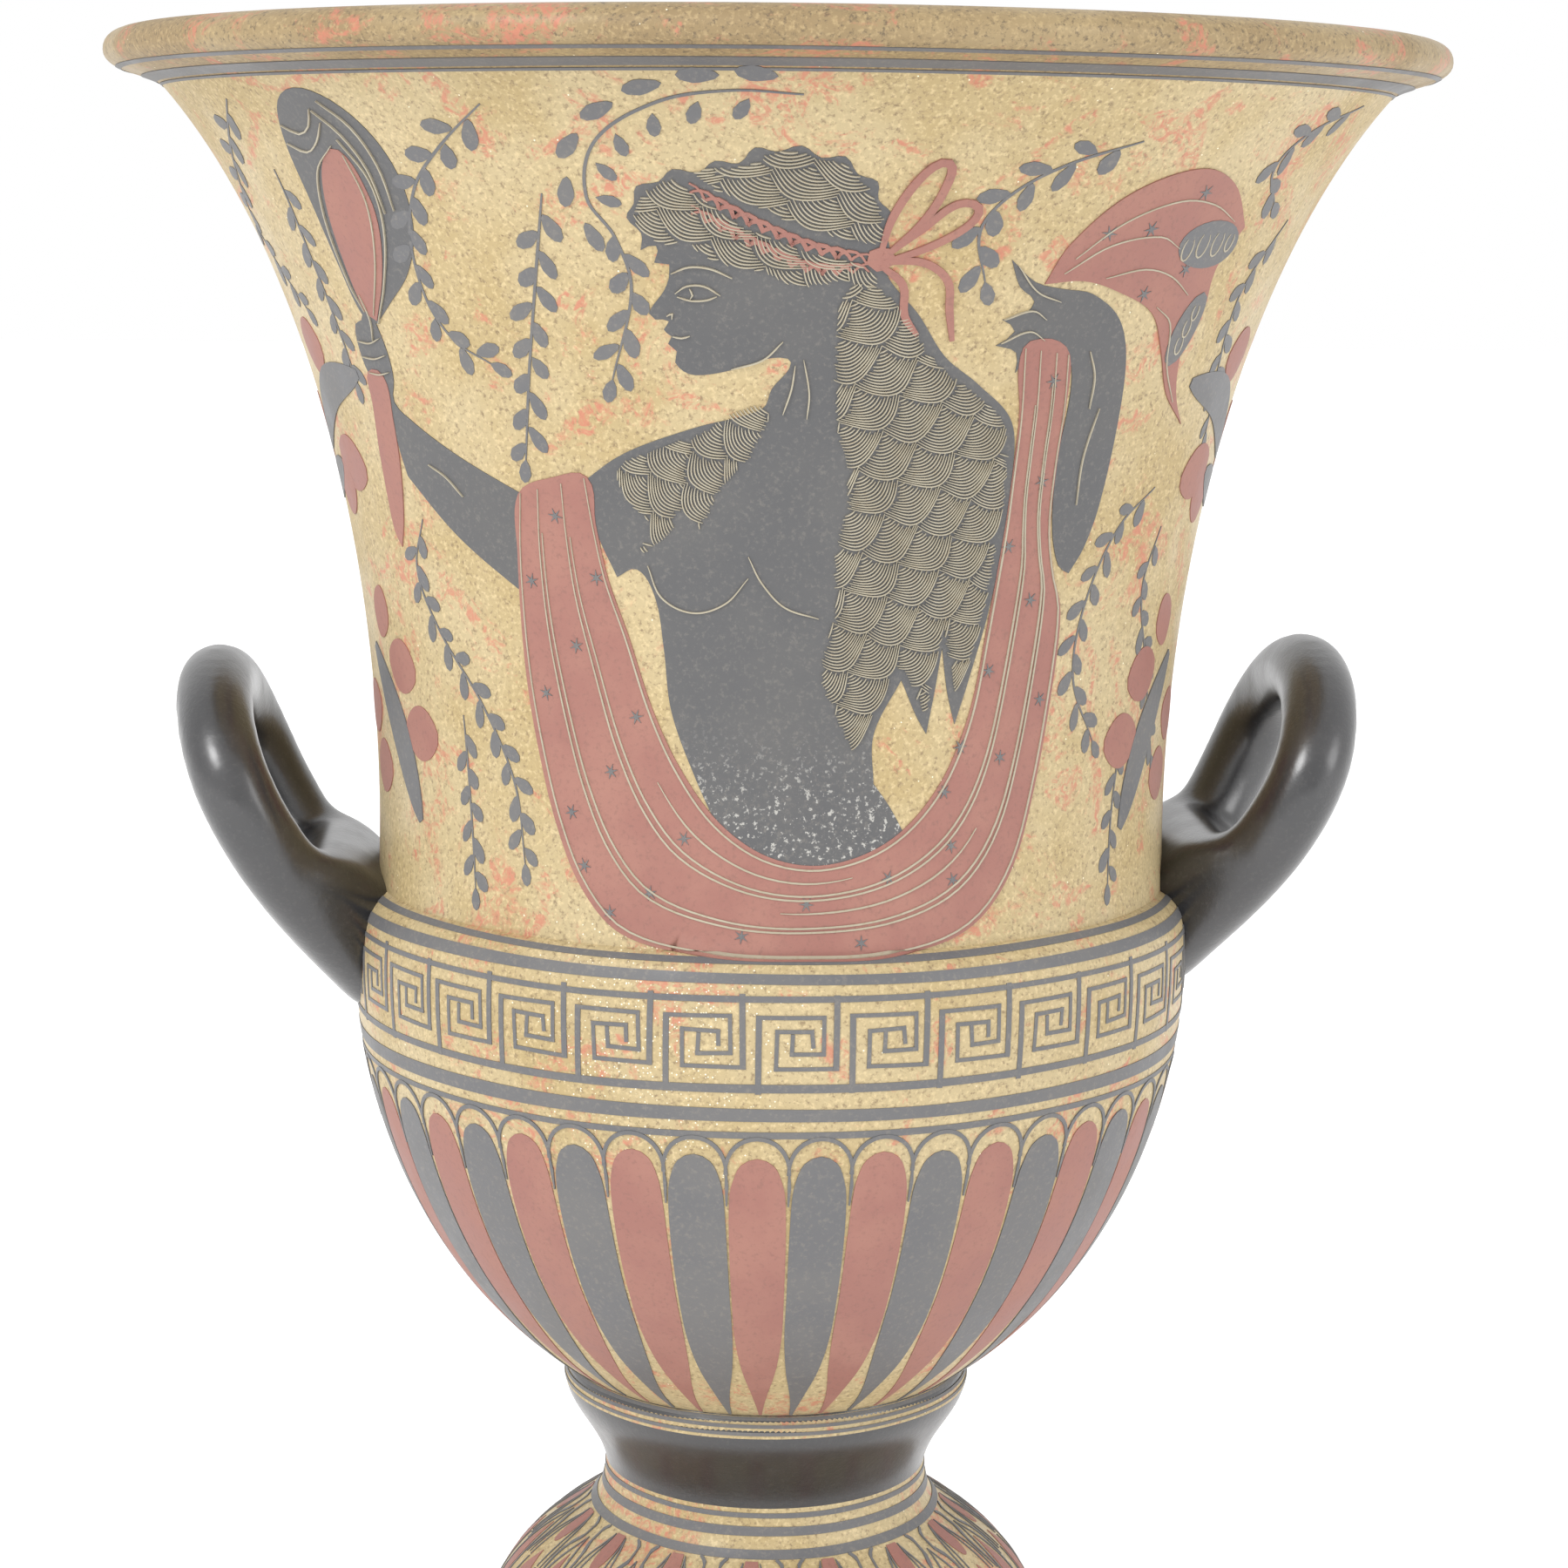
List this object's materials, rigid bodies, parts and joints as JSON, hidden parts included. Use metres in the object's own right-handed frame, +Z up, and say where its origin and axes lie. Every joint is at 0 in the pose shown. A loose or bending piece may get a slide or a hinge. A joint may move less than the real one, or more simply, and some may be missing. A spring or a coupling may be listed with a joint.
{
  "type": "painted calyx krater vase",
  "caption": "Painted clay vase with a wide flaring mouth, a rounded bowl, two upturned loop handles, a black collar and a domed hollow foot.",
  "frame": {"origin": "centre of the foot's standing face, on the vessel's axis", "axes": "+Z up along the axis, -Y towards the painted picture, +X and -X towards the handles"},
  "size_m": [0.2008, 0.2008, 0.2659],
  "materials": {
    "painted_clay": "satin",
    "black_slip": "satin"
  },
  "bodies": {
    "root": {"base_ring": "black_slip", "foot_bell": "painted_clay", "collar": "black_slip", "bowl": "painted_clay", "calyx_wall": "painted_clay", "lip_ring": "painted_clay", "handle_left": "black_slip", "handle_right": "black_slip"}
  },
  "joints": []
}
